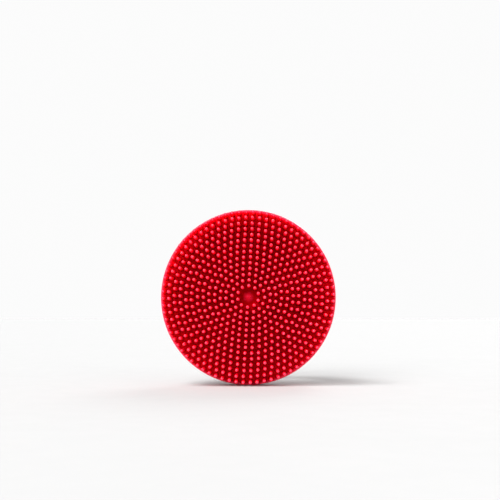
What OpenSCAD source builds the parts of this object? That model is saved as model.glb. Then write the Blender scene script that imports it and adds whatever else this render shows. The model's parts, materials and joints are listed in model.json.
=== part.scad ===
// Round rubber grooming brush with a palm strap, upright on its rim with the bristles facing forward.
//
// Every part is drawn lying down in a drawing frame: bristles up (+Z), the strap's outer face at
// z = 0, the strap along X and its hinge at +X. stand_up() turns the drawing so that the bristles
// face -Y, the rim stands on z = 0 and the origin is at the bottom centre of the whole brush.

/* [Bristle pad] */
// Outer diameter of the rubber pad, and of the brush
pad_d = 85.5; // [84:0.5:88]
// Length of a bristle above the web
bristle_l = 9; // [7:0.5:11]
// Diameter of a bristle where it leaves the web
bristle_root_d = 2; // [1.7:0.05:2.1]
// Diameter of a bristle below its rounded tip
bristle_tip_d = 1.5; // [1.2:0.05:1.6]
// Number of concentric rings of bristles
rings = 14; // [12:1:14]
// Radius of the innermost ring of bristles
first_ring_r = 5.15; // [4.8:0.05:5.5]
// Thickness of the web that carries the bristles
web_t = 2.2; // [1.8:0.1:3]
// Diameter of the soft gate boss in the middle of the web
gate_boss_d = 5; // [4:0.1:5.5]
// Height of the gate boss over the web
gate_boss_h = 1.4; // [0.8:0.1:1.8]

/* [Core plate] */
// Thickness of the stiffening plate inside the pad
core_t = 1.6; // [1.2:0.1:2]
// Thickness of the pad's lip behind the plate
lip_t = 1; // [0.8:0.1:1.4]

/* [Back cover] */
// Wall thickness of the back cover
cover_t = 2.4; // [2:0.1:2.6]
// How far the cover's dome stands above its shoulder
dome_rise = 4; // [3:0.25:4.5]
// Height of the cover from its shoulder to the pad's lip
cover_side = 3.2; // [3:0.1:4]
// Distance of each cover screw from both centre lines
screw_offset = 19; // [18:0.5:20]

/* [Palm strap] */
// Thickness of the strap
strap_t = 3; // [2.5:0.1:3.2]
// Width of the strap over the back of the hand
strap_w = 26; // [22:1:30]
// Clear height between the strap and the cover
hand_room = 26; // [24:0.5:30]
// Length of the strap's flat crown
crown_l = 24; // [20:1:26]
// Depth of the grip grooves across the crown
groove_depth = 0.65; // [0.3:0.05:0.8]
// Diameter of the steel hinge pin
pin_d = 3; // [2.5:0.1:3.2]
// Radial running clearance between the strap and its pin
pin_clearance = 0.05; // [0.02:0.01:0.1]
// Distance of the hinge and of the button from the middle
end_x = 33; // [32:0.5:33.5]

/* [Hidden] */
$fn = 48;
overlap = 0.4;       // how far joined solids run into each other
body_gap = 0.3;      // between the strap and what it rests against

pad_r = pad_d / 2;
ring_edge = 1.8;     // from the last ring's centres to the pad's rim
last_ring_r = pad_r - ring_edge;
ring_pitch = (last_ring_r - first_ring_r) / (rings - 1);
spoke_angle = 86.7;  // every ring has one bristle on this ray

// levels, from the strap's outer face up to the bristle tips
dome_z = strap_t + hand_room;
shoulder_z = dome_z + dome_rise;
cover_rim_z = shoulder_z + cover_side;
lip_top_z = cover_rim_z + lip_t;
web_back_z = lip_top_z + core_t;
web_z = web_back_z + web_t;
total_h = web_z + bristle_l;

skirt_t = 3;
lip_w = 5.5;
pad_bore_r = pad_r - skirt_t;
core_r = pad_bore_r - 0.05;          // the plate is a close fit in the pad

cover_r = pad_r - 0.4;
shoulder_round = 3;
shoulder_r = cover_r - shoulder_round;
dome_r = (shoulder_r * shoulder_r + dome_rise * dome_rise) / (2 * dome_rise);
screw_split_z = cover_rim_z - 1.2;   // where the cover's posts meet the plate's bosses
post_d = 7.4;

screw_head_d = 5.4;
screw_head_h = 1.7;
screw_d = 2.4;
screw_l = 5;
pilot_d = 2.5;
screw_way_d = 3.2;
counterbore_d = 6.2;
screw_seat_z = dome_z + 4;           // floor of the counterbores

hinge_r = 3.9;                       // of the strap's barrel and of the ears
hinge_z = dome_z - 1.6;
barrel_l = 22;
ear_gap = 0.3;
ear_t = 4;
ear_y = barrel_l / 2 + ear_gap;      // inner face of an ear
pin_head_d = 5.2;
pin_head_h = 1;
retainer_d = 6.4;
retainer_h = 1.4;
pin_proud = 0.5;                     // end of the pin past its retainer

seat_z = dome_z + 0.4;               // flat seat under the strap's tongue
seat_r = 7;
seat_back_z = screw_split_z;         // inner face of the seat's boss
neck_r = 2.2;
button_head_r = 4.2;
button_head_h = 1.9;
hole_r = 2.6;
hole_pitch = 7;
tongue_w = 20;
tongue_mid_z = seat_z - body_gap - strap_t / 2;
tongue_end_x = pad_r - 0.5;
button_top_z = tongue_mid_z - strap_t / 2 - body_gap;
button_screw_d = 2;
button_screw_head_d = 4;
button_screw_head_h = 1.4;

bend_r = 8;                          // middle of the strap round the crown's ends
tongue_bend_r = 3;
crown_x = crown_l / 2;
strap_mid = strap_t / 2;
grooves = 6;
groove_pitch = 3.2;
groove_r = 0.7;
groove_l = 20;

// Bristles in ring k: the innermost ring has ten, and the others follow one rule
function ring_count(k) = k == 0 ? 10 : 16 + 2 * ceil(2.5 * (k - 1));

// Height of the dome's outer face at radius r
function dome_height(r) = dome_z + dome_r - sqrt(dome_r * dome_r - r * r);

// Points of an arc about c, from angle a to angle b
function arc(c, r, a, b, steps) =
    [for (i = [0:steps]) c + r * [cos(a + (b - a) * i / steps), sin(a + (b - a) * i / steps)]];

function reversed(list) = [for (i = [len(list) - 1:-1:0]) list[i]];

module stand_up() {
    translate([0, total_h / 2, pad_r]) rotate([90, 0, 0]) children();
}

// Extrude an outline drawn in the X and Z directions, centred on the drawing frame's y = 0
module extrude_side(width) {
    rotate([90, 0, 0]) linear_extrude(height = width, center = true) children();
}

module at_screws() {
    for (x = [-screw_offset, screw_offset], y = [-screw_offset, screw_offset])
        translate([x, y, 0]) children();
}

// ---- bristle pad ----

module bristle() {
    root_r = bristle_root_d / 2;
    tip_r = bristle_tip_d / 2;
    rotate_extrude() polygon([
        [0, -overlap],
        [root_r, -overlap],
        [tip_r, bristle_l - tip_r],
        [tip_r * 0.8, bristle_l - tip_r * 0.35],
        [tip_r * 0.4, bristle_l],
        [0, bristle_l]
    ]);
}

// Section of the gate boss, a soft dome that runs out into the web, as parts of its radius and height
boss_section = [[1, 0], [0.8, 0.16], [0.6, 0.43], [0.4, 0.71], [0.2, 0.92], [0, 1]];

module pad_shell() {
    rotate_extrude() polygon(concat(
        [
            [0, web_back_z],
            [pad_bore_r, web_back_z],
            [pad_bore_r, lip_top_z],
            [pad_r - lip_w, lip_top_z],
            [pad_r - lip_w, cover_rim_z],
            [pad_r, cover_rim_z],
            [pad_r, web_z]
        ],
        [for (p = boss_section) [p[0] * gate_boss_d / 2, web_z + p[1] * gate_boss_h]]
    ));
}

module bristle_pad() {
    color("crimson") stand_up() union() {
        pad_shell();
        for (k = [0:rings - 1], i = [0:ring_count(k) - 1])
            rotate([0, 0, spoke_angle + 360 * i / ring_count(k)])
                translate([first_ring_r + k * ring_pitch, 0, web_z]) bristle();
    }
}

// ---- core plate ----

module core_plate() {
    rib_outer_r = 31;
    rib_inner_r = 29.4;
    rib_h = 1.2;
    boss_h = lip_top_z - screw_split_z;
    color("whitesmoke") stand_up() difference() {
        union() {
            translate([0, 0, lip_top_z]) cylinder(r = core_r, h = core_t);
            translate([0, 0, lip_top_z - rib_h]) difference() {
                cylinder(r = rib_outer_r, h = rib_h + overlap);
                translate([0, 0, -overlap]) cylinder(r = rib_inner_r, h = rib_h + overlap);
            }
            at_screws() translate([0, 0, screw_split_z]) cylinder(d = post_d, h = boss_h + overlap);
        }
        at_screws() translate([0, 0, screw_split_z - overlap])
            cylinder(d = pilot_d, h = boss_h + core_t / 2 + overlap);
    }
}

// ---- back cover ----

// Section of the cover: domed outside, rounded shoulder, even wall, open towards the pad
module cover_section() {
    dome_steps = 10;
    round_steps = 5;
    edge_angle = asin(shoulder_r / dome_r);
    dome_centre = [0, dome_z + dome_r];
    round_centre = [shoulder_r, shoulder_z + shoulder_round];
    inner_r = dome_r - cover_t;
    inner_edge = asin((shoulder_r - 1) / inner_r);
    inner_corner_z = shoulder_z + cover_t + 0.2;
    polygon(concat(
        arc(dome_centre, dome_r, -90, -90 + edge_angle, dome_steps),
        arc(round_centre, shoulder_round, -90 + edge_angle, 0, round_steps),
        [
            [cover_r, cover_rim_z],
            [cover_r - cover_t, cover_rim_z],
            [cover_r - cover_t, inner_corner_z]
        ],
        reversed(arc(dome_centre, inner_r, -90, -90 + inner_edge, dome_steps))
    ));
}

module hinge_ear() {
    foot_sunk = 1.6;
    foot_flare = 1.6;
    neck_inset = 0.3;
    foot_z = dome_height(end_x) + foot_sunk;
    extrude_side(ear_t) polygon([
        [end_x - hinge_r - foot_flare, foot_z],
        [end_x - hinge_r + neck_inset, hinge_z],
        [end_x + hinge_r - neck_inset, hinge_z],
        [end_x + hinge_r, foot_z]
    ]);
    translate([end_x, 0, hinge_z]) rotate([90, 0, 0]) cylinder(r = hinge_r, h = ear_t, center = true);
}

module back_cover() {
    post_h = screw_split_z - screw_seat_z;
    through = total_h;
    color("firebrick") stand_up() difference() {
        union() {
            rotate_extrude() cover_section();
            at_screws() translate([0, 0, screw_seat_z - cover_t / 2])
                cylinder(d = counterbore_d + 2, h = post_h + cover_t / 2);
            translate([-end_x, 0, seat_z]) cylinder(r = seat_r, h = seat_back_z - seat_z);
            for (side = [-1, 1])
                translate([0, side * (ear_y + ear_t / 2), 0]) hinge_ear();
        }
        at_screws() {
            translate([0, 0, screw_seat_z - through]) cylinder(d = counterbore_d, h = through);
            cylinder(d = screw_way_d, h = through);
        }
        translate([-end_x, 0, 0]) cylinder(d = button_screw_d + 0.3, h = through);
        translate([end_x, 0, hinge_z]) rotate([90, 0, 0])
            cylinder(d = pin_d, h = 2 * pad_r, center = true);
    }
}

// ---- screws ----

// Pan head below z = 0 and shank above it, with a cross recess in the head
module screw(head_d, head_h, shank_d, shank_l, recess) {
    difference() {
        rotate_extrude() polygon([
            [0, -head_h],
            [head_d * 0.32, -head_h],
            [head_d * 0.45, -head_h * 0.75],
            [head_d / 2, -head_h * 0.3],
            [head_d / 2, 0],
            [shank_d / 2, 0],
            [shank_d / 2, shank_l - shank_d / 2],
            [shank_d / 5, shank_l],
            [0, shank_l]
        ]);
        for (turn = [0, 90])
            translate([0, 0, -head_h]) rotate([0, 0, turn])
                cube([recess, recess / 4, 1.2 * head_h], center = true);
    }
}

module cover_screws() {
    color("silver") stand_up() at_screws() translate([0, 0, screw_seat_z])
        screw(screw_head_d, screw_head_h, screw_d, screw_l, 2.6);
}

module button_screw() {
    color("silver") stand_up() translate([-end_x, 0, seat_back_z]) mirror([0, 0, 1])
        screw(button_screw_head_d, button_screw_head_h, button_screw_d, seat_back_z - button_top_z, 2);
}

// ---- strap and its fittings ----

// Direction of the strap's arm between the crown's bend and the hinge
hinge_reach = [end_x - crown_x, hinge_z - strap_mid - bend_r];
hinge_arm_angle = atan2(hinge_reach[1], hinge_reach[0]) + asin(bend_r / norm(hinge_reach));

// Direction of the arm between the crown's bend and the tongue's bend
tongue_bend_x = end_x - 4.5;
tongue_reach = [tongue_bend_x - crown_x, tongue_mid_z - tongue_bend_r - strap_mid - bend_r];
tongue_arm_angle = atan2(tongue_reach[1], tongue_reach[0])
    + asin((bend_r + tongue_bend_r) / norm(tongue_reach));

// One face of the strap seen from the side, at offset d from its middle, from hinge to tongue's end
function strap_face(d) = concat(
    [[end_x + d * sin(hinge_arm_angle), hinge_z - d * cos(hinge_arm_angle)]],
    arc([crown_x, strap_mid + bend_r], bend_r + d, hinge_arm_angle - 90, -90, 8),
    arc([-crown_x, strap_mid + bend_r], bend_r + d, -90, -90 - tongue_arm_angle, 8),
    arc([-tongue_bend_x, tongue_mid_z - tongue_bend_r], tongue_bend_r - d,
        90 - tongue_arm_angle, 90, 5),
    [[-tongue_end_x, tongue_mid_z - d]]
);

module strap_plan() {
    w = strap_w / 2;
    t = tongue_w / 2;
    b = barrel_l / 2;
    half = concat(
        [[end_x + 1, b], [end_x - 5, b], [crown_x + 3, w], [-crown_x - 3, w], [4 - end_x, t]],
        arc([t - tongue_end_x, 0], t, 90, 180, 10)
    );
    polygon(concat(half, [for (p = reversed(half)) [p[0], -p[1]]]));
}

// Spare hole at a distance along the arm from the foot of the tongue's bend
module spare_hole(distance) {
    foot = [-tongue_bend_x, tongue_mid_z - tongue_bend_r]
        + tongue_bend_r * [cos(90 - tongue_arm_angle), sin(90 - tongue_arm_angle)];
    along = [cos(tongue_arm_angle), -sin(tongue_arm_angle)];
    p = foot + distance * along;
    translate([p[0], 0, p[1]]) rotate([0, tongue_arm_angle, 0])
        cylinder(r = hole_r, h = 3 * strap_t, center = true);
}

// Round-bottomed grooves across the crown, closed at both ends
module grip_grooves() {
    for (i = [0:grooves - 1])
        translate([(i - (grooves - 1) / 2) * groove_pitch, 0, groove_depth - groove_r])
            rotate([90, 0, 0]) cylinder(r = groove_r, h = groove_l, center = true);
}

module palm_strap() {
    color("crimson") stand_up() difference() {
        union() {
            intersection() {
                extrude_side(strap_w + 2)
                    polygon(concat(strap_face(strap_mid), reversed(strap_face(-strap_mid))));
                linear_extrude(height = total_h) strap_plan();
            }
            translate([end_x, 0, hinge_z]) rotate([90, 0, 0])
                cylinder(r = hinge_r, h = barrel_l, center = true);
        }
        translate([end_x, 0, hinge_z]) rotate([90, 0, 0])
            cylinder(r = pin_d / 2 + pin_clearance, h = 2 * barrel_l, center = true);
        translate([-end_x, 0, tongue_mid_z]) cylinder(r = hole_r, h = 2 * strap_t, center = true);
        spare_hole(hole_pitch * 0.5);
        spare_hole(hole_pitch * 1.5);
        grip_grooves();
    }
}

module hinge_pin() {
    end = ear_y + ear_t;
    pin_l = 2 * end + retainer_h + pin_proud;
    color("silver") stand_up() translate([end_x, -end - pin_head_h, hinge_z]) rotate([-90, 0, 0])
        rotate_extrude() polygon([
            [0, 0],
            [pin_head_d * 0.36, 0],
            [pin_head_d / 2, pin_head_h * 0.5],
            [pin_head_d / 2, pin_head_h],
            [pin_d / 2, pin_head_h],
            [pin_d / 2, pin_head_h + pin_l - 0.4],
            [pin_d / 2 - 0.4, pin_head_h + pin_l],
            [0, pin_head_h + pin_l]
        ]);
}

module pin_retainer() {
    color("silver") stand_up() translate([end_x, ear_y + ear_t, hinge_z]) rotate([-90, 0, 0])
        rotate_extrude() polygon([
            [pin_d / 2, 0],
            [retainer_d / 2, 0],
            [retainer_d / 2, 0.5],
            [retainer_d * 0.36, retainer_h],
            [pin_d / 2, retainer_h]
        ]);
}

module strap_button() {
    color("firebrick") stand_up() translate([-end_x, 0, 0]) difference() {
        rotate_extrude() polygon([
            [0, button_top_z - button_head_h],
            [button_head_r * 0.55, button_top_z - button_head_h],
            [button_head_r * 0.87, button_top_z - button_head_h * 0.72],
            [button_head_r, button_top_z - button_head_h * 0.3],
            [button_head_r, button_top_z],
            [neck_r, button_top_z],
            [neck_r, seat_z],
            [0, seat_z]
        ]);
        translate([0, 0, button_top_z]) cylinder(d = button_screw_d, h = seat_z - button_top_z + overlap);
    }
}

bristle_pad();
core_plate();
back_cover();
cover_screws();
palm_strap();
hinge_pin();
pin_retainer();
strap_button();
button_screw();
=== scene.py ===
import json
import math
import random

import bmesh
import bpy
from mathutils import Matrix, Vector


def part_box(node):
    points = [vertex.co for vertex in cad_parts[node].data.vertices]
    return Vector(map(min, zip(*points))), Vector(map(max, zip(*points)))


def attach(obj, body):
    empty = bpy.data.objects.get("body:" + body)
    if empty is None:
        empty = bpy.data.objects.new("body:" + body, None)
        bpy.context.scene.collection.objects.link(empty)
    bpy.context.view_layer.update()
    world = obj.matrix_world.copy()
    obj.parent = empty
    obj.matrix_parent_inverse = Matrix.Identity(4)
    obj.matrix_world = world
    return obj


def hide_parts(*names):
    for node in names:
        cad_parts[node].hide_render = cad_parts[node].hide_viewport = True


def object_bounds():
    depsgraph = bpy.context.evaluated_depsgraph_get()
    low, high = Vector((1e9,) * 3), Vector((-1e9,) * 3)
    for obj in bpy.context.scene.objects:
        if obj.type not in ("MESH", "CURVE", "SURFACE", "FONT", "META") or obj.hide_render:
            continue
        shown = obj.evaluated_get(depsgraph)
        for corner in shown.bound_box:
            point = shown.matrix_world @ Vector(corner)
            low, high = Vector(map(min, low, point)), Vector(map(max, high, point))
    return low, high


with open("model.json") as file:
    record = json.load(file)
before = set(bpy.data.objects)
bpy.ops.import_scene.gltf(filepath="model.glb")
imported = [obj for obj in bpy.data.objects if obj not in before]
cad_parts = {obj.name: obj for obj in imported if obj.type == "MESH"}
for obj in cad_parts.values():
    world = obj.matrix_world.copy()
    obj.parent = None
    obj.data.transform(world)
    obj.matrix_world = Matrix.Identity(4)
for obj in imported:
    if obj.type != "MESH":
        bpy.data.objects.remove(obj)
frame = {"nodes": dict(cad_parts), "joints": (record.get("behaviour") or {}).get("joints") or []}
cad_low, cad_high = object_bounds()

random.seed(7)
MM = 0.001

# ---------------------------------------------------------------------------
# Sizes. Pieces are modelled lying down, in millimetres: the bristles point up (+Z), the strap's
# outer face is at z = 0, and the strap runs along X with its hinge at +X. STAND turns that
# drawing upright into the row frame, in metres.
# ---------------------------------------------------------------------------

TOTAL_H = (cad_high[1] - cad_low[1]) / MM


def size_mm(node):
    low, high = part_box(node)
    return [(high[i] - low[i]) / MM for i in range(3)]


def height_of(y):
    """Drawing height of the place y in the row frame."""
    return TOTAL_H / 2 - y / MM


PAD_R = size_mm("bristle_pad")[0] / 2
STAND = (Matrix.Translation((0, TOTAL_H / 2 * MM, PAD_R * MM))
         @ Matrix.Rotation(math.pi / 2, 4, "X") @ Matrix.Diagonal((MM, MM, MM, 1)))

# bristle pad
RINGS = 14
FIRST_RING_R = 5.15
RING_EDGE = 1.8
LAST_RING_R = PAD_R - RING_EDGE
SPOKE_ANGLE = 86.7
LEAN = 0.009
BRISTLE_L = 9.0
ROOT_R = 0.98
TIP_R = 0.77
GATE_BOSS_R = 2.5
GATE_BOSS_H = 1.4
DIMPLE_XY = (0.4, 0.05)
DIMPLE_DEPTH = 0.35
DIMPLE_R = 0.45
SKIRT_T = 3.0
LIP_W = 5.5
RIM_Z = height_of(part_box("bristle_pad")[1][1])
LIP_T = 1.0
LIP_TOP_Z = RIM_Z + LIP_T
WEB_BACK_Z = height_of(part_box("core_plate")[0][1])
WEB_Z = TOTAL_H - BRISTLE_L
WEB_ROUND = 0.4
RIM_ROUND = 0.5
PARTING_H = 0.08
PARTING_W = 0.5

# back cover
COVER_R = size_mm("back_cover")[0] / 2
COVER_T = 2.4
SEAT_Z = height_of(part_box("strap_button")[0][1])
SEAT_SUNK = 0.4
DOME_Z = SEAT_Z - SEAT_SUNK
DOME_RISE = 4.0
SHOULDER_ROUND = 3.0
SHOULDER_Z = DOME_Z + DOME_RISE
SHOULDER_R = COVER_R - SHOULDER_ROUND
DOME_R = (SHOULDER_R ** 2 + DOME_RISE ** 2) / (2 * DOME_RISE)
SCREW_XY = 19.0
SCREW_SUNK = 4.0
SCREW_SEAT_Z = DOME_Z + SCREW_SUNK
COUNTERBORE_R = 3.1
SCREW_WAY_R = 1.6
VOXEL = 0.4

# hinge, strap and button
SWING = frame["joints"][0]
HINGE_X = SWING["pos_m"][0] / MM
HINGE_Z = height_of(SWING["pos_m"][1])
HINGE_R = 3.9
PIN_R = 1.5
PIN_CLEARANCE = 0.05
BODY_GAP = 0.3
BARREL_L = 22.0
EAR_Y = BARREL_L / 2 + BODY_GAP
EAR_T = 4.0
BUTTON_X = -HINGE_X
SEAT_R = 7.0
STRAP_T = 3.0
STRAP_W = size_mm("palm_strap")[2]
TONGUE_W = 20.0
TONGUE_END_X = -(PAD_R - 0.5)
TONGUE_Z = SEAT_Z - BODY_GAP - STRAP_T / 2
HOLE_R = 2.6
HOLE_PITCH = 7.0
CROWN_X = 12.0
BEND_R = 8.0
TONGUE_BEND_R = 3.0
TONGUE_BEND_X = -(HINGE_X - 4.5)
ACROSS = 64
STRAP_EDGE = 1.1
PANEL_DEPTH = 0.45
PANEL_BORDER = (2.2, 2.9)
PANEL_RING_R = (3.9, 4.6)
GROOVES = 6
GROOVE_PITCH = 3.2
GROOVE_DEPTH = 0.65

# ---------------------------------------------------------------------------
# Mesh helpers
# ---------------------------------------------------------------------------


def arc(cx, cz, r, a, b, steps):
    """Points of an arc about (cx, cz), from angle a to angle b in degrees."""
    angles = [math.radians(a + (b - a) * i / steps) for i in range(steps + 1)]
    return [(cx + r * math.cos(t), cz + r * math.sin(t)) for t in angles]


def smoothstep(x, low, high):
    t = min(1.0, max(0.0, (x - low) / (high - low)))
    return t * t * (3 - 2 * t)


class Shell:
    """Vertices and faces of one piece, gathered before its mesh is made."""

    def __init__(self):
        self.verts = []
        self.faces = []

    def lathe(self, profile, segments, place=None, closed=False):
        """Revolves (r, z) points about Z, then moves the result by the matrix place."""
        place = place or Matrix()
        rings = []
        for r, z in profile:
            if r < 1e-6:
                rings.append([len(self.verts)])
                self.verts.append(place @ Vector((0, 0, z)))
                continue
            first = len(self.verts)
            rings.append(list(range(first, first + segments)))
            for i in range(segments):
                t = 2 * math.pi * i / segments
                self.verts.append(place @ Vector((r * math.cos(t), r * math.sin(t), z)))
        pairs = list(zip(rings, rings[1:]))
        if closed:
            pairs.append((rings[-1], rings[0]))
        for a, b in pairs:
            for i in range(segments):
                j = (i + 1) % segments
                quad = [a[i % len(a)], a[j % len(a)], b[j % len(b)], b[i % len(b)]]
                face = [v for n, v in enumerate(quad) if v not in quad[:n]]
                if len(face) > 2:
                    self.faces.append(face)

    def loft(self, sections):
        """Joins closed sections of equal length with quads, and caps both ends."""
        starts = []
        for points in sections:
            starts.append(len(self.verts))
            self.verts.extend(Vector(p) for p in points)
        n = len(sections[0])
        for a, b in zip(starts, starts[1:]):
            for i in range(n):
                j = (i + 1) % n
                self.faces.append([a + i, a + j, b + j, b + i])
        self.faces.append([starts[0] + i for i in range(n)][::-1])
        self.faces.append([starts[-1] + i for i in range(n)])

    def prism(self, outline, y_low, y_high, edge, steps=4):
        """An outline in X and Z, thick along Y, with its edges rounded by a radius."""
        n = len(outline)
        normals = []
        for i, (x, z) in enumerate(outline):
            px, pz = outline[i - 1]
            qx, qz = outline[(i + 1) % n]
            d = Vector((qx - px, qz - pz)).normalized()
            normals.append((d[1], -d[0]))
        sections = []
        for end, y_end in ((-1, y_low), (1, y_high)):
            turns = range(steps + 1) if end < 0 else range(steps, -1, -1)
            for k in turns:
                t = math.pi / 2 * k / steps
                inset = edge * (1 - math.sin(t))
                y = y_end - end * edge * (1 - math.cos(t))
                sections.append([(x - nx * inset, y, z - nz * inset)
                                 for (x, z), (nx, nz) in zip(outline, normals)])
        self.loft(sections)

    def to_object(self, name):
        mesh = bpy.data.meshes.new(name)
        mesh.from_pydata([tuple(v) for v in self.verts], [], self.faces)
        bm = bmesh.new()
        bm.from_mesh(mesh)
        bmesh.ops.recalc_face_normals(bm, faces=bm.faces)
        bm.to_mesh(mesh)
        bm.free()
        obj = bpy.data.objects.new(name, mesh)
        bpy.context.scene.collection.objects.link(obj)
        return obj


def baked(obj):
    """Applies the object's modifiers to its mesh."""
    depsgraph = bpy.context.evaluated_depsgraph_get()
    mesh = bpy.data.meshes.new_from_object(obj.evaluated_get(depsgraph))
    obj.modifiers.clear()
    old = obj.data
    obj.data = mesh
    bpy.data.meshes.remove(old)
    return obj


def combine(obj, tools, operation):
    """Boolean of the object with each tool, which is then deleted."""
    for tool in tools:
        change = obj.modifiers.new("combine", "BOOLEAN")
        change.operation = operation
        change.solver = "EXACT"
        change.object = tool
        baked(obj)
        bpy.data.objects.remove(tool)
    return obj


def remeshed(obj, voxel, smoothing):
    """One skin over the object's overlapping shells, with its inner corners rounded."""
    change = obj.modifiers.new("skin", "REMESH")
    change.mode = "VOXEL"
    change.voxel_size = voxel
    relax = obj.modifiers.new("relax", "SMOOTH")
    relax.factor = 0.5
    relax.iterations = smoothing
    return baked(obj)


def finish_piece(obj, name, material, body, slot, *nodes, sharp=50):
    obj.name = name
    obj.data.name = name
    obj.data.transform(STAND)
    obj.data.materials.clear()
    obj.data.materials.append(material)
    obj.data.polygons.foreach_set("use_smooth", [True] * len(obj.data.polygons))
    obj.data.set_sharp_from_angle(angle=math.radians(sharp))
    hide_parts(*nodes)
    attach(obj, body)
    return obj


# ---------------------------------------------------------------------------
# Materials
# ---------------------------------------------------------------------------


class Look:
    """A material under construction: its nodes and the Principled shader they feed."""

    def __init__(self, name):
        self.material = bpy.data.materials.new(name)
        self.material.use_nodes = True
        self.nodes = self.material.node_tree.nodes
        self.links = self.material.node_tree.links
        self.shader = self.nodes["Principled BSDF"]
        self.coords = self.nodes.new("ShaderNodeTexCoord").outputs["Object"]

    def set(self, **values):
        for key, value in values.items():
            self.shader.inputs[key.replace("_", " ")].default_value = value

    def noise(self, grain_mm, detail=3.0, rough=0.55):
        """Noise whose grains are about that size, from 0 to 1."""
        node = self.nodes.new("ShaderNodeTexNoise")
        node.inputs["Scale"].default_value = 1 / (grain_mm * MM)
        node.inputs["Detail"].default_value = detail
        node.inputs["Roughness"].default_value = rough
        self.links.new(self.coords, node.inputs["Vector"])
        return node.outputs["Fac"]

    def remap(self, value, from_low, from_high, to_low, to_high):
        node = self.nodes.new("ShaderNodeMapRange")
        node.interpolation_type = "SMOOTHSTEP"
        self.links.new(value, node.inputs["Value"])
        for key, number in zip(("From Min", "From Max", "To Min", "To Max"),
                               (from_low, from_high, to_low, to_high)):
            node.inputs[key].default_value = number
        return node.outputs["Result"]

    def mix(self, factor, a, b):
        """Colour a where factor is 0 and colour b where it is 1."""
        node = self.nodes.new("ShaderNodeMix")
        node.data_type = "RGBA"
        self.links.new(factor, node.inputs["Factor"])
        for socket, colour in ((node.inputs[6], a), (node.inputs[7], b)):
            if isinstance(colour, tuple):
                socket.default_value = (*colour, 1)
            else:
                self.links.new(colour, socket)
        return node.outputs[2]

    def distance(self, place):
        node = self.nodes.new("ShaderNodeVectorMath")
        node.operation = "DISTANCE"
        self.links.new(self.coords, node.inputs[0])
        node.inputs[1].default_value = place
        return node.outputs["Value"]

    def radius(self):
        """Distance from the line through the middle of the bristle face."""
        node = self.nodes.new("ShaderNodeVectorMath")
        node.operation = "MULTIPLY_ADD"
        self.links.new(self.coords, node.inputs[0])
        node.inputs[1].default_value = (1, 0, 1)
        node.inputs[2].default_value = (0, 0, -PAD_R * MM)
        length = self.nodes.new("ShaderNodeVectorMath")
        length.operation = "LENGTH"
        self.links.new(node.outputs["Vector"], length.inputs[0])
        return length.outputs["Value"]

    def axis(self, name):
        node = self.nodes.new("ShaderNodeSeparateXYZ")
        self.links.new(self.coords, node.inputs["Vector"])
        return node.outputs[name]

    def maths(self, operation, a, b):
        node = self.nodes.new("ShaderNodeMath")
        node.operation = operation
        self.links.new(a, node.inputs[0])
        self.links.new(b, node.inputs[1])
        return node.outputs["Value"]

    def mottled(self, grain_mm, pair, detail=3.0):
        """A colour that wanders between the two of a pair in patches of that size."""
        return self.mix(self.noise(grain_mm, detail), *pair)

    def colour(self, value):
        self.links.new(value, self.shader.inputs["Base Color"])

    def shine(self, value):
        self.links.new(value, self.shader.inputs["Specular IOR Level"])

    def roughness(self, grain_mm, smooth, rough, detail=3.0, noise_low=0.3):
        """Roughness that wanders between two values in patches of that size."""
        value = self.remap(self.noise(grain_mm, detail), noise_low, 0.7, smooth, rough)
        self.links.new(value, self.shader.inputs["Roughness"])

    def bump(self, value, height_mm, strength=1.0):
        node = self.nodes.new("ShaderNodeBump")
        node.inputs["Strength"].default_value = strength
        node.inputs["Distance"].default_value = height_mm * MM
        self.links.new(value, node.inputs["Height"])
        self.links.new(node.outputs["Normal"], self.shader.inputs["Normal"])


# Colours of the materials. A pair holds the two ends of a mottled colour.
# The web's reds are painted shade: a darker red than the shafts, where the gaps between the bristles
# are deep.
WEB_PAINTED_SHADE = ((0.50, 0.0004, 0.003), (0.57, 0.0008, 0.006))
# Paler web towards the rim: painted light, where light reaches the outer rings from the side.
WEB_OUTER_PAINTED_LIGHT = ((0.66, 0.0006, 0.004), (0.74, 0.0010, 0.007))
# Painted shade: a darker ring in the web round the gate boss.
BOSS_MOAT_PAINTED_SHADE = (0.34, 0.0003, 0.002)
# Painted light: a paler, pinker top on the gate boss.
BOSS_PAINTED_LIGHT = ((0.64, 0.006, 0.030), (0.76, 0.014, 0.052))
# Painted light: a pink band along the rim's edge.
RIM_PAINTED_LIGHT = (0.97, 0.032, 0.090)
SHAFTS = ((0.84, 0.002, 0.015), (0.91, 0.004, 0.023))
# Painted highlight: pinker red on the very tips of the bristles.
TIPS_PAINTED_HIGHLIGHT = ((0.93, 0.023, 0.078), (0.96, 0.036, 0.100))
STRAP_RED = ((0.46, 0.003, 0.012), (0.54, 0.005, 0.018))
COVER_RED = ((0.30, 0.002, 0.008), (0.36, 0.003, 0.011))
BUTTON_RED = ((0.30, 0.002, 0.008), (0.38, 0.004, 0.012))
NATURAL_WHITE = ((0.72, 0.70, 0.64), (0.80, 0.78, 0.73))
PIN_STEEL = ((0.60, 0.60, 0.61), (0.70, 0.70, 0.71))
RING_STEEL = ((0.50, 0.50, 0.52), (0.62, 0.62, 0.63))
SCREW_STEEL = ((0.56, 0.56, 0.57), (0.70, 0.70, 0.69))
BUTTON_SCREW_STEEL = ((0.56, 0.56, 0.57), (0.68, 0.68, 0.69))
FLOOR_GREY = ((0.425, 0.425, 0.425), (0.44, 0.44, 0.44))

WEB_Y = (TOTAL_H / 2 - WEB_Z) * MM
TIP_Y = cad_low[1]
RIM = PAD_R * MM


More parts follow.
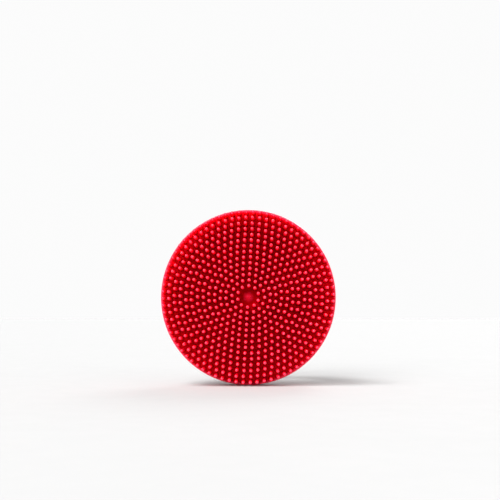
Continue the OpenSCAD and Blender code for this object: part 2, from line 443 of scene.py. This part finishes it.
def web_painted_light_and_shade(look, height, radius):
    """The web between the bristles: darker than the shafts as painted shade, paler outwards as painted
    light, with a painted shade ring round the boss, painted light on the boss and a painted light band
    along the rim's thin edge.
    """
    from_boss = look.distance((0, WEB_Y, RIM))
    # Painted light: the web turns paler from 28 mm out to the rim.
    outwards = look.remap(radius, 28 * MM, 41 * MM, 0, 1)
    web = look.mix(outwards, look.mottled(9, WEB_PAINTED_SHADE), look.mottled(9, WEB_OUTER_PAINTED_LIGHT))
    # Painted shade: a darker ring round the boss, from 3 to 5.6 mm off its middle.
    web = look.mix(look.remap(from_boss, 3.0 * MM, 5.6 * MM, 0, 1), BOSS_MOAT_PAINTED_SHADE, web)
    # Painted light: the boss's top is paler and pinker than the web round it.
    painted_light_on_boss = look.remap(from_boss, 1.2 * MM, 3.0 * MM, 1, 0)
    web = look.mix(painted_light_on_boss, web, look.mottled(1.5, BOSS_PAINTED_LIGHT))
    # Painted light: a pink band at the rim, strongest at the face and weaker further back.
    painted_rim_light_radial = look.remap(radius, RIM - 1.6 * MM, RIM - 0.3 * MM, 0, 0.85)
    painted_rim_light_fade = look.remap(height, WEB_Y + 4.0 * MM, WEB_Y + 0.6 * MM, 0.45, 1)
    return look.mix(look.maths("MULTIPLY", painted_rim_light_radial, painted_rim_light_fade), web, RIM_PAINTED_LIGHT)


def pad_rubber():
    """Soft red rubber that lets light through, shinier in the tips and on the rim, with a painted
    highlight in the tips, painted light on the rim and boss, and painted shade in the web.
    """
    look = Look("pad_rubber")
    look.set(Subsurface_Weight=0.6, Subsurface_Radius=(1.0, 0.08, 0.12), Subsurface_Scale=1.8 * MM,
             Specular_IOR_Level=0.15)
    height = look.axis("Y")
    radius = look.radius()
    along = look.remap(height, WEB_Y, TIP_Y, 0, 1)
    # Painted shade: the colour darkens from the shafts down to the web over the lower part of each
    # bristle.
    painted_shade_fade = look.remap(along, 0.06, 0.40, 0, 1)
    # Painted highlight: pink on the top of each tip.
    painted_highlight_on_tip = look.remap(along, 0.994, 1, 0, 1)
    lower = look.mix(painted_shade_fade, web_painted_light_and_shade(look, height, radius), look.mottled(6, SHAFTS))
    look.colour(look.mix(painted_highlight_on_tip, lower, look.mottled(2.5, TIPS_PAINTED_HIGHLIGHT)))
    rim_shine = look.remap(radius, RIM - 0.8 * MM, RIM - 0.1 * MM, 0, 0.45)
    tip_shine = look.remap(along, 0.988, 1, 0, 0.36)
    look.shine(look.maths("ADD", tip_shine, rim_shine))
    look.roughness(3, 0.30, 0.42)
    look.bump(look.noise(0.35, 4), 0.02, 0.5)
    return look.material


def strap_rubber():
    """The same rubber, duller and finely textured where a hand rubs it."""
    look = Look("strap_rubber")
    look.set(Subsurface_Weight=0.12, Subsurface_Radius=(1.0, 0.12, 0.16), Subsurface_Scale=1.0 * MM,
             Specular_IOR_Level=0.45)
    look.colour(look.mottled(11, STRAP_RED, 4))
    look.roughness(5, 0.42, 0.56, 4)
    look.bump(look.noise(0.28, 3), 0.03, 0.6)
    return look.material


def cover_plastic():
    """Red moulded plastic with a fine spark-eroded texture."""
    look = Look("cover_plastic")
    look.set(Specular_IOR_Level=0.5)
    look.colour(look.mottled(14, COVER_RED, 4))
    look.roughness(4, 0.40, 0.50)
    look.bump(look.noise(0.42, 2, 0.7), 0.035, 0.7)
    return look.material


def button_plastic():
    """Harder, shinier red plastic, scuffed by the strap."""
    look = Look("button_plastic")
    look.colour(look.mottled(6, BUTTON_RED))
    look.roughness(1.2, 0.18, 0.36, 5, 0.35)
    look.bump(look.noise(0.5, 3), 0.008, 0.5)
    return look.material


def core_plastic():
    look = Look("core_plastic")
    look.colour(look.mottled(8, NATURAL_WHITE))
    look.roughness(3, 0.42, 0.55)
    look.bump(look.noise(0.5, 3), 0.02, 0.5)
    return look.material


def steel(name, pair, smooth, rough):
    """Bright metal with faint plating blotches and fine scratches."""
    look = Look(name)
    look.set(Metallic=1.0)
    look.colour(look.mottled(2, pair, 5))
    look.roughness(0.7, smooth, rough, 5)
    look.bump(look.noise(0.15, 4), 0.004, 0.5)
    return look.material


def floor_card():
    look = Look("floor_card")
    look.set(Specular_IOR_Level=0.15)
    look.colour(look.mottled(60, FLOOR_GREY))
    look.roughness(12, 0.75, 0.85)
    return look.material


# ---------------------------------------------------------------------------
# Bristle pad
# ---------------------------------------------------------------------------


def ring_count(k):
    """Bristles in ring k, counted from the innermost."""
    return 10 if k == 0 else 16 + 2 * math.ceil(2.5 * (k - 1))


def bristle_profile():
    """Flared root, tapered shaft and rounded tip, as (radius, height over the web)."""
    sunk = 0.3
    flare_r = 0.3
    flare_z = flare_r - 0.02
    root = [(0, -sunk), (ROOT_R, -sunk), (ROOT_R + flare_r, -0.04),
            *arc(ROOT_R + flare_r, flare_z, flare_r, -90, -180, 3)]
    shaft_top = BRISTLE_L - TIP_R
    shaft = [(ROOT_R + (TIP_R - ROOT_R) * t, flare_z + (shaft_top - flare_z) * t)
             for t in (0.3, 0.62, 1.0)]
    tip = arc(0, shaft_top, TIP_R, 0, 90, 5)[1:-1]
    return [*root, *shaft, *tip, (0, BRISTLE_L)]


def boss_height(r):
    """Height of the gate boss over the web at radius r: a soft dome that runs out into the web."""
    return GATE_BOSS_H * (1 - smoothstep(r, 0.0, GATE_BOSS_R)) ** 0.8


def pad_profile():
    """Closed section of the pad without its bristles, with the gate boss in the middle."""
    boss_steps = 14
    boss_radii = [GATE_BOSS_R * i / boss_steps for i in range(boss_steps + 1)]
    boss = [(r, WEB_Z + boss_height(r)) for r in boss_radii]
    web = [(r, WEB_Z) for r in (3.4, 8, 16, 24, 32, 38)]
    inner_r = PAD_R - SKIRT_T
    parting_z = (WEB_Z + RIM_Z) / 2
    return [
        *boss, *web,
        *arc(PAD_R - WEB_ROUND, WEB_Z - WEB_ROUND, WEB_ROUND, 90, 0, 4),
        (PAD_R, parting_z + PARTING_W / 2),
        (PAD_R + PARTING_H, parting_z),
        (PAD_R, parting_z - PARTING_W / 2),
        *arc(PAD_R - RIM_ROUND, RIM_Z + RIM_ROUND, RIM_ROUND, 0, -90, 4),
        (PAD_R - LIP_W, RIM_Z), (PAD_R - LIP_W, LIP_TOP_Z),
        (inner_r, LIP_TOP_Z), (inner_r, WEB_BACK_Z), (0, WEB_BACK_Z),
    ]


def bristle_pad():
    shell = Shell()
    shell.lathe(pad_profile(), 192)
    for v in shell.verts:
        if v.z > WEB_Z and v.xy.length < GATE_BOSS_R:
            away = (v.xy - Vector(DIMPLE_XY)).length
            v.z -= DIMPLE_DEPTH * (1 - smoothstep(away, 0.05, DIMPLE_R))
    pitch = (LAST_RING_R - FIRST_RING_R) / (RINGS - 1)
    profile = bristle_profile()
    for k in range(RINGS):
        for i in range(ring_count(k)):
            angle = math.radians(SPOKE_ANGLE + 360 * i / ring_count(k))
            r = FIRST_RING_R + k * pitch
            place = Matrix.Translation((r * math.cos(angle), r * math.sin(angle), WEB_Z))
            for axis in "XY":
                place = place @ Matrix.Rotation(random.gauss(0, LEAN), 4, axis)
            shell.lathe(profile, 14, place)
    pad = shell.to_object("pad")
    return finish_piece(pad, "rubber_pad", pad_rubber(), "head", "pad_rubber", "bristle_pad", sharp=60)


# ---------------------------------------------------------------------------
# Back cover
# ---------------------------------------------------------------------------


def dome_height(r):
    return DOME_Z + DOME_R - math.sqrt(DOME_R ** 2 - r ** 2)


def cover_profile():
    """Closed section of the cover: dome, rounded shoulder, side, open rim and inner face."""
    steps = 24
    radii = [SHOULDER_R * i / steps for i in range(steps)]
    outer = [(r, dome_height(r)) for r in radii]
    shoulder = arc(SHOULDER_R, SHOULDER_Z + SHOULDER_ROUND, SHOULDER_ROUND, -78, 0, 8)
    rim = [(COVER_R, RIM_Z - 0.3), (COVER_R - 0.3, RIM_Z), (COVER_R - COVER_T, RIM_Z)]
    inner = [(r, dome_height(r) + COVER_T) for r in radii[::-1]]
    return [*outer, *shoulder, *rim, (COVER_R - COVER_T, SHOULDER_Z + COVER_T + 0.2), *inner]


def ear_outline():
    foot_z = dome_height(HINGE_X) + 1.2
    return [
        (HINGE_X + HINGE_R + 0.2, foot_z),
        (HINGE_X - HINGE_R - 1.4, foot_z),
        *arc(HINGE_X, HINGE_Z, HINGE_R, 165, 375, 28),
    ]


def screw_places():
    return [(x, y) for x in (-SCREW_XY, SCREW_XY) for y in (-SCREW_XY, SCREW_XY)]


def counterbore(x, y):
    """Cutter for a screw's seat, flared where it meets the dome so that its edge is round."""
    z = dome_height(math.hypot(x, y))
    flare_r = 0.5
    shell = Shell()
    flare = arc(COUNTERBORE_R + flare_r, z + flare_r, flare_r, -90, -180, 5)
    shell.lathe([(0, z - 2), (COUNTERBORE_R + 1.5, z - 2), (COUNTERBORE_R + 0.9, z - 0.35), *flare,
                 (COUNTERBORE_R, SCREW_SEAT_Z), (SCREW_WAY_R, SCREW_SEAT_Z),
                 (SCREW_WAY_R, SCREW_SEAT_Z + 3), (0, SCREW_SEAT_Z + 3)],
                56, Matrix.Translation((x, y, 0)))
    return shell.to_object("cutter")


def screw_post(shell, x, y):
    """Solid post that carries a screw's seat."""
    post_r = COUNTERBORE_R + 1
    low = SCREW_SEAT_Z - COVER_T / 2
    high = RIM_Z - 1.2
    shell.lathe([(0, low), (post_r, low), (post_r, high), (0, high)],
                40, Matrix.Translation((x, y, 0)))


def button_seat(shell):
    """Flat round seat under the strap's tongue, flared into the dome."""
    edge = 0.6
    back_z = SEAT_Z + 4
    shell.lathe([(0, SEAT_Z), (SEAT_R - edge, SEAT_Z),
                 *arc(SEAT_R - edge, SEAT_Z + edge, edge, -90, 0, 4),
                 (SEAT_R + edge, dome_height(BUTTON_X) + edge), (SEAT_R, back_z), (0, back_z)],
                72, Matrix.Translation((BUTTON_X, 0, 0)))


def back_cover():
    shell = Shell()
    shell.lathe(cover_profile(), 160)
    for x, y in screw_places():
        screw_post(shell, x, y)
    button_seat(shell)
    shell.prism(ear_outline(), -(EAR_Y + EAR_T), -EAR_Y, 0.7)
    shell.prism(ear_outline(), EAR_Y, EAR_Y + EAR_T, 0.7)
    cover = remeshed(shell.to_object("cover"), VOXEL, 5)
    settle_dome(cover)
    combine(cover, [counterbore(x, y) for x, y in screw_places()], "DIFFERENCE")
    return finish_piece(cover, "palm_cover", cover_plastic(), "head", "cover_plastic", "back_cover")


def settle_dome(cover):
    """Puts the skin's points near the plain dome and side exactly on them."""
    near_dome = 0.13
    near_side = 0.15
    for v in cover.data.vertices:
        r = math.hypot(v.co.x, v.co.y)
        if r < SHOULDER_R - 0.5:
            away = v.co.z - dome_height(r)
            if abs(away) < near_dome:
                v.co.z -= away
        elif v.co.z > SHOULDER_Z + SHOULDER_ROUND and abs(r - COVER_R) < near_side:
            v.co.xy *= COVER_R / r


# ---------------------------------------------------------------------------
# Strap and its fittings
# ---------------------------------------------------------------------------


def strap_path():
    """Points (x, z) of the strap's middle line from hinge to tongue end, and its last arm's tilt."""
    reach = Vector((HINGE_X - CROWN_X, HINGE_Z - STRAP_T / 2 - BEND_R))
    right = math.degrees(math.atan2(reach.y, reach.x) + math.asin(BEND_R / reach.length))
    reach = Vector((-TONGUE_BEND_X - CROWN_X, TONGUE_Z - TONGUE_BEND_R - STRAP_T / 2 - BEND_R))
    left = math.degrees(math.atan2(reach.y, reach.x)
                        + math.asin((BEND_R + TONGUE_BEND_R) / reach.length))
    bend_z = STRAP_T / 2 + BEND_R
    corners = [
        [(HINGE_X, HINGE_Z)],
        arc(CROWN_X, bend_z, BEND_R, right - 90, -90, 26),
        arc(-CROWN_X, bend_z, BEND_R, -90, -90 - left, 30),
        arc(TONGUE_BEND_X, TONGUE_Z - TONGUE_BEND_R, TONGUE_BEND_R, 90 - left, 90, 14),
        [(TONGUE_END_X, TONGUE_Z)],
    ]
    return [p for group in corners for p in group], left


def resampled(points, step):
    """The same line with a point about every step."""
    out = [Vector(points[0])]
    for a, b in zip(points, points[1:]):
        start = Vector(a)
        end = Vector(b)
        count = max(1, round((end - start).length / step))
        out.extend(start.lerp(end, (i + 1) / count) for i in range(count))
    return out


def strap_half_width(x):
    """Half the strap's width at x: slimmer at the hinge and on the tongue, round at its end."""
    crown = STRAP_W / 2
    root = BARREL_L / 2
    tongue = TONGUE_W / 2
    if x > 0:
        return crown + (root - crown) * smoothstep(x, CROWN_X + 2, HINGE_X - 5)
    w = crown + (tongue - crown) * smoothstep(-x, CROWN_X + 2, HINGE_X - 4)
    past = max(0.0, TONGUE_END_X + tongue - x)
    return w * math.sqrt(max(0.0, 1 - (past / tongue) ** 2)) if past else w


def strap_edge_distance(x, v):
    """Distance of a point on the strap's face from the strap's outline."""
    past = max(0.0, TONGUE_END_X + TONGUE_W / 2 - x)
    return TONGUE_W / 2 - math.hypot(past, v) if past else strap_half_width(x) - abs(v)


def strap_holes(left):
    """Centre and tilt in degrees of the hole on the button and of the two spare ones."""
    turn = math.radians(left)
    bend = Vector((TONGUE_BEND_X, TONGUE_Z - TONGUE_BEND_R))
    foot = bend + TONGUE_BEND_R * Vector((math.sin(turn), math.cos(turn)))
    along = Vector((math.cos(turn), -math.sin(turn)))
    spare = [(foot + HOLE_PITCH * n * along, left) for n in (0.5, 1.5)]
    return [(Vector((BUTTON_X, TONGUE_Z)), 0.0), *spare]


def groove_depth(p):
    """Depth of the grip grooves across the crown at a point of the path."""
    if p.y > STRAP_T or abs(p.x) > GROOVES * GROOVE_PITCH / 2:
        return 0.0
    away = abs((p.x / GROOVE_PITCH + 0.5 * (GROOVES + 1)) % 1 - 0.5) * GROOVE_PITCH
    return GROOVE_DEPTH * smoothstep(away, 0.9, 1.5)


def strap_section(p, direction, holes):
    """Rounded section across the strap, its outer face recessed inside a border and hole rings."""
    half = strap_half_width(p.x)
    out = Vector((-direction.y, direction.x))
    upper = []
    lower = []
    for i in range(ACROSS + 1):
        v = half * math.sin(math.pi * (i / ACROSS - 0.5))
        inset = max(0.0, strap_edge_distance(p.x, v))
        round_off = STRAP_EDGE - math.sqrt(STRAP_EDGE ** 2 - max(0.0, STRAP_EDGE - inset) ** 2)
        ring = min(math.hypot((p - c).length, v) for c, _ in holes)
        panel = smoothstep(inset, *PANEL_BORDER) * smoothstep(ring, *PANEL_RING_R)
        upper.append((v, STRAP_T / 2 - round_off - panel * (PANEL_DEPTH + groove_depth(p))))
        lower.append((v, round_off - STRAP_T / 2))
    return [(p.x + out.x * n, v, p.y + out.y * n) for v, n in upper + lower[::-1]]


def hole_cutter(centre, tilt):
    """Cutter for a strap hole, flared at both faces so that its edges are round."""
    h = STRAP_T / 2
    edge = 0.4
    shell = Shell()
    upper = arc(HOLE_R + edge, h - edge, edge, 180, 90, 4)
    lower = [(r, -z) for r, z in reversed(upper)]
    place = Matrix.Translation((centre.x, 0, centre.y)) @ Matrix.Rotation(math.radians(tilt), 4, "Y")
    shell.lathe([(0, -h - 1), (HOLE_R + 0.7, -h - 1), (HOLE_R + 0.55, -h - 0.05), *lower,
                 *upper, (HOLE_R + 0.55, h + 0.05), (HOLE_R + 0.7, h + 1), (0, h + 1)], 47, place)
    return shell.to_object("cutter")


def strap_points(corners):
    """The strap's path with even steps, and short ones round the tongue's end."""
    end_r = TONGUE_W / 2
    steps = 34
    path = [p for p in resampled(corners, 0.27) if p.x > TONGUE_END_X + end_r]
    turns = [math.sin(math.radians(89.5) * i / steps) for i in range(steps + 1)]
    return path + [Vector((TONGUE_END_X + end_r * (1 - turn), TONGUE_Z)) for turn in turns]


def strap_barrel():
    """The strap's barrel and the cutter for its bore, on the hinge line."""
    across = Matrix.Translation((HINGE_X, 0, HINGE_Z)) @ Matrix.Rotation(math.pi / 2, 4, "X")
    half = BARREL_L / 2
    edge = 0.5
    barrel = Shell()
    barrel.lathe([(0, -half), (HINGE_R - edge, -half),
                  *arc(HINGE_R - edge, -half + edge, edge, -90, 0, 4),
                  *arc(HINGE_R - edge, half - edge, edge, 0, 90, 4), (0, half)], 72, across)
    bore_r = PIN_R + PIN_CLEARANCE
    past = half + 2
    bore = Shell()
    bore.lathe([(0, -past), (bore_r, -past), (bore_r, past), (0, past)], 48, across)
    return barrel, bore


def palm_strap():
    corners, left = strap_path()
    path = strap_points(corners)
    holes = strap_holes(left)
    sections = []
    for i, p in enumerate(path):
        ahead = path[min(i + 1, len(path) - 1)]
        behind = path[max(i - 1, 0)]
        sections.append(strap_section(p, (ahead - behind).normalized(), holes))
    body = Shell()
    body.loft(sections)
    strap = body.to_object("strap")
    barrel, bore = strap_barrel()
    combine(strap, [barrel.to_object("barrel")], "UNION")
    combine(strap, [bore.to_object("bore"), *[hole_cutter(c, t) for c, t in holes]], "DIFFERENCE")
    return finish_piece(strap, "rubber_strap", strap_rubber(), "strap", "strap_rubber", "palm_strap")


def strap_button():
    top = TONGUE_Z - STRAP_T / 2 - BODY_GAP
    head_h = 1.9
    head_r = 4.2
    neck_r = 2.2
    crown_r = 9.0
    shell = Shell()
    crown = arc(0, top - head_h + crown_r, crown_r, -90, -69, 6)
    shell.lathe([*crown, *arc(head_r - 0.75, top - 0.95, 0.75, -50, 60, 7), (head_r - 0.8, top),
                 *arc(neck_r + 0.3, top + 0.3, 0.3, -90, -180, 3),
                 *arc(neck_r + 0.25, SEAT_Z - 0.25, 0.25, 180, 90, 3), (0, SEAT_Z)],
                64, Matrix.Translation((BUTTON_X, 0, 0)))
    return finish_piece(shell.to_object("button"), "mushroom_button", button_plastic(), "head",
                        "button_plastic", "strap_button", sharp=60)


def across_hinge(y):
    """Places a lathed part on the hinge line, from y towards +Y."""
    return Matrix.Translation((HINGE_X, y, HINGE_Z)) @ Matrix.Rotation(math.radians(-90), 4, "X")


def hinge_pin():
    end = EAR_Y + EAR_T
    head_r = 2.6
    head_h = 1.0
    head_round = 3.4
    chamfer = 0.4
    retainer_h = 1.4
    proud = 0.5
    tip = head_h + 2 * end + retainer_h + proud
    shell = Shell()
    shell.lathe([*arc(0, head_round, head_round, -90, -54, 6),
                 *arc(head_r - 0.25, head_h - 0.3, 0.25, -30, 60, 4),
                 (head_r - 0.2, head_h), (PIN_R, head_h), (PIN_R, tip - proud),
                 *arc(PIN_R - chamfer, tip - chamfer, chamfer, 0, 90, 4), (0, tip)],
                56, across_hinge(-end - head_h))
    pin = shell.to_object("pin")
    return finish_piece(pin, "steel_pin", steel("pin_steel", PIN_STEEL, 0.18, 0.30),
                        "head", "pin_steel", "hinge_pin", sharp=40)


def pin_retainer():
    """Push-on ring with a raised collar, as on a domed spring nut."""
    shell = Shell()
    shell.lathe([(PIN_R, 0), (2.9, 0), *arc(2.95, 0.25, 0.25, -90, 90, 5), (2.5, 0.62),
                 (2.1, 1.2), *arc(1.85, 1.2, 0.2, 20, 160, 4), (PIN_R, 1.0)],
                60, across_hinge(EAR_Y + EAR_T), closed=True)
    ring = shell.to_object("ring")
    return finish_piece(ring, "pin_ring", steel("ring_steel", RING_STEEL, 0.25, 0.40),
                        "head", "pin_steel", "pin_retainer", sharp=40)


def recess_slot(top, depth, reach, turn):
    """Cutter for one arm pair of a cross recess, narrowing downwards from the head's top."""
    c = math.cos(turn)
    s = math.sin(turn)
    sections = []
    for z, l, w in ((top - 0.4, reach * 1.15, 0.44), (top + depth, reach * 0.55, 0.24)):
        corners = [(-l, -w), (l, -w), (l, w), (-l, w)]
        sections.append([(x * c - y * s, x * s + y * c, z) for x, y in corners])
    shell = Shell()
    shell.loft(sections)
    return shell.to_object("recess")


def pan_screw(head_r, head_h, shank_r, shank_l):
    """Pan head below z = 0, threaded shank above it."""
    crown_r = 8.0
    edge = 0.62
    chamfer = 0.12
    rim_r = head_r - edge
    rim_z = crown_r - math.sqrt(crown_r ** 2 - rim_r ** 2) - head_h
    crown_end = -90 + math.degrees(math.asin(rim_r / crown_r))
    profile = [*arc(0, crown_r - head_h, crown_r, -90, crown_end, 6),
               *arc(rim_r, rim_z + edge, edge, -75, 0, 6),
               (head_r, -chamfer), (head_r - chamfer, 0), (shank_r, 0)]
    pitch = 0.8
    thread_root_r = shank_r * 0.82
    for n in range(int(shank_l / pitch)):
        z = 0.2 + n * pitch
        profile += [(thread_root_r, z), (shank_r, z + 0.3), (thread_root_r, z + 0.6)]
    profile += [(shank_r * 0.5, shank_l), (0, shank_l)]
    shell = Shell()
    shell.lathe(profile, 48)
    slots = [recess_slot(-head_h, 1.0, head_r * 0.5, turn) for turn in (0, math.pi / 2)]
    return combine(shell.to_object("screw"), slots, "DIFFERENCE")


def cover_screws():
    first = pan_screw(head_r=2.7, head_h=1.7, shank_r=1.2, shank_l=5.0)
    placed = []
    for (x, y), turn in zip(screw_places(), (17, 62, -28, 41)):
        mesh = first.data.copy()
        mesh.transform(Matrix.Translation((x, y, SCREW_SEAT_Z))
                       @ Matrix.Rotation(math.radians(turn), 4, "Z"))
        placed.append(mesh)
    bm = bmesh.new()
    for mesh in placed:
        bm.from_mesh(mesh)
    joined = bpy.data.meshes.new("screws")
    bm.to_mesh(joined)
    bm.free()
    obj = bpy.data.objects.new("screws", joined)
    bpy.context.scene.collection.objects.link(obj)
    bpy.data.objects.remove(first)
    return finish_piece(obj, "pan_screws", steel("screw_steel", SCREW_STEEL, 0.22, 0.38),
                        "head", "screw_steel", "cover_screws", sharp=35)


def dress_hidden_nodes():
    """The plate and the button's screw keep their CAD shapes inside the brush."""
    looks = {
        "core_plate": core_plastic(),
        "button_screw": steel("button_screw_steel", BUTTON_SCREW_STEEL, 0.24, 0.38),
    }
    for node, material in looks.items():
        obj = frame["nodes"][node]
        obj.data.materials.clear()
        obj.data.materials.append(material)


# ---------------------------------------------------------------------------
# Studio
# ---------------------------------------------------------------------------


def make_floor():
    shell = Shell()
    shell.lathe([(0, 0), (0.3, 0), (1.2, 0), (5, 0), (20, 0)], 64)
    floor = shell.to_object("floor")
    floor.data.materials.append(floor_card())


def sun(name, towards, power, spread):
    """A broad, even light that shines in a direction, spread over an angle in degrees."""
    light = bpy.data.lights.new(name, "SUN")
    light.energy = power
    light.angle = math.radians(spread)
    obj = bpy.data.objects.new(name, light)
    bpy.context.scene.collection.objects.link(obj)
    obj.rotation_euler = Vector(towards).to_track_quat("-Z", "Y").to_euler()


def make_studio():
    """Soft suns under a pale sky that darkens overhead, out of the camera's view."""
    pale_below = 0.40
    dark_above = 0.80
    pale = 0.97
    dark = 0.50
    scene = bpy.context.scene
    world = bpy.data.worlds.new("studio")
    world.use_nodes = True
    nodes = world.node_tree.nodes
    links = world.node_tree.links
    height = nodes.new("ShaderNodeSeparateXYZ")
    links.new(nodes.new("ShaderNodeTexCoord").outputs["Generated"], height.inputs["Vector"])
    fade = nodes.new("ShaderNodeMapRange")
    fade.interpolation_type = "SMOOTHSTEP"
    links.new(height.outputs["Z"], fade.inputs["Value"])
    for key, number in zip(("From Min", "From Max", "To Min", "To Max"),
                           (pale_below, dark_above, pale, dark)):
        fade.inputs[key].default_value = number
    links.new(fade.outputs["Result"], nodes["Background"].inputs["Strength"])
    nodes["Background"].inputs["Color"].default_value = (1, 1, 1, 1)
    scene.world = world
    scene.view_settings.view_transform = "Standard"
    sun("key", (0.45, 1.0, -0.62), 2.5, 32)
    sun("rim", (0.42, 0.28, -0.86), 3.2, 28)
    sun("fill", (-0.85, 0.80, -0.40), 0.35, 40)
    sun("back", (-0.35, -0.95, -0.90), 1.0, 30)


def make_camera():
    """Square to the bristle face from the photograph's distance, with the brush low in the picture."""
    view_w = 0.24
    distance = 0.4
    middle_z = PAD_R * MM
    eye = Vector((0.004, cad_low[1] - distance, middle_z - 0.010))
    aim = Vector((0.0009, cad_low[1], middle_z + 0.0222))
    camera = bpy.data.cameras.new("camera")
    camera.sensor_width = 36
    camera.lens = camera.sensor_width * (aim - eye).length / view_w
    camera.clip_start = 0.01
    camera.clip_end = 60
    obj = bpy.data.objects.new("camera", camera)
    bpy.context.scene.collection.objects.link(obj)
    obj.location = eye
    obj.rotation_euler = (aim - eye).to_track_quat("-Z", "Y").to_euler()
    bpy.context.scene.camera = obj


make_camera()
bristle_pad()
back_cover()
palm_strap()
strap_button()
hinge_pin()
pin_retainer()
cover_screws()
dress_hidden_nodes()
make_floor()
make_studio()
